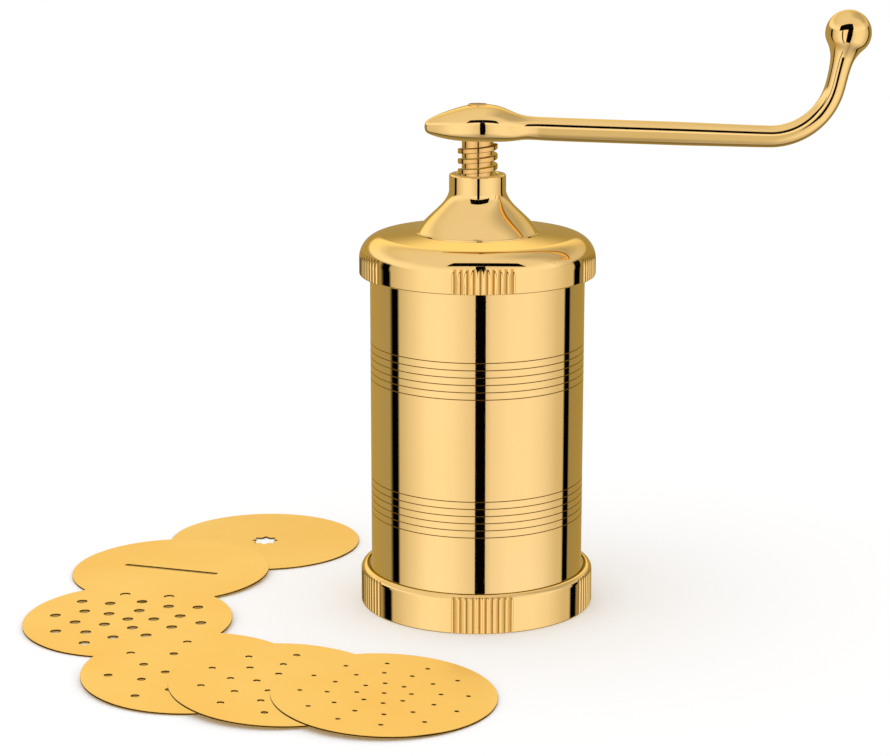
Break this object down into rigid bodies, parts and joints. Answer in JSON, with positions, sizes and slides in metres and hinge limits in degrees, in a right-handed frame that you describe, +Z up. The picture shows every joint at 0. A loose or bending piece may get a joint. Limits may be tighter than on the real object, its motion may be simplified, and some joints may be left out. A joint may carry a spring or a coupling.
{
  "type": "murukku press",
  "caption": "Hand-cranked brass press: a lead screw drives a piston down a barrel to push dough through a die plate, with loose die plates lying beside it.",
  "frame": {"origin": "centre of the dough outlet in the base ring's underside, on the table", "axes": "+Z up the press's axis, +X along the crank arm, -Y towards the viewer of the picture"},
  "size_m": [0.249, 0.2066, 0.1791],
  "materials": {
    "polished_brass": "polished",
    "screw_brass": "machined",
    "die_brass": "satin"
  },
  "bodies": {
    "base_ring": {"base_ring": "polished_brass"},
    "barrel": {"barrel": "polished_brass"},
    "top_cap": {"top_cap": "polished_brass", "cap_neck": "polished_brass"},
    "piston": {"piston_plate": "screw_brass"},
    "crank": {"screw_shaft": "screw_brass", "crank_handle": "polished_brass", "thrust_washer": "screw_brass", "retaining_washer": "screw_brass", "retaining_nut": "screw_brass"},
    "die_star": {"die_star": "die_brass"},
    "die_slit": {"die_slit": "die_brass"},
    "die_large": {"die_large": "die_brass"},
    "die_medium": {"die_medium": "die_brass"},
    "die_small": {"die_small": "die_brass"},
    "die_fine": {"die_fine": "die_brass"}
  },
  "joints": [
    {"name": "barrel_lift", "type": "slide", "parent": "base_ring", "child": "barrel", "axis": [0, 0, 1], "range_m": [0, 0.03]},
    {"name": "cap_lift", "type": "slide", "parent": "barrel", "child": "top_cap", "axis": [0, 0, 1], "range_m": [0, 0.11]},
    {"name": "piston_travel", "type": "slide", "parent": "top_cap", "child": "piston", "axis": [0, 0, 1], "range_m": [-0.009, 0.078]},
    {"name": "crank_turn", "type": "hinge", "parent": "piston", "child": "crank", "pos_m": [0, 0, 0.02], "axis": [0, 0, 1], "range_deg": [-1080, 9360]},
    {"name": "star_lift", "type": "slide", "parent": "base_ring", "child": "die_star", "axis": [0, 0, 1], "range_m": [0, 0.015]},
    {"name": "slit_lift", "type": "slide", "parent": "die_star", "child": "die_slit", "axis": [0, 0, 1], "range_m": [0, 0.015]},
    {"name": "large_lift", "type": "slide", "parent": "die_slit", "child": "die_large", "axis": [0, 0, 1], "range_m": [0, 0.015]},
    {"name": "medium_lift", "type": "slide", "parent": "die_large", "child": "die_medium", "axis": [0, 0, 1], "range_m": [0, 0.015]},
    {"name": "small_lift", "type": "slide", "parent": "die_medium", "child": "die_small", "axis": [0, 0, 1], "range_m": [0, 0.015]},
    {"name": "fine_lift", "type": "slide", "parent": "die_small", "child": "die_fine", "axis": [0, 0, 1], "range_m": [0, 0.015]}
  ],
  "couplings": [
    {"joint": "piston_travel", "follows": "crank_turn", "m_per_rad": 0.00047746}
  ]
}
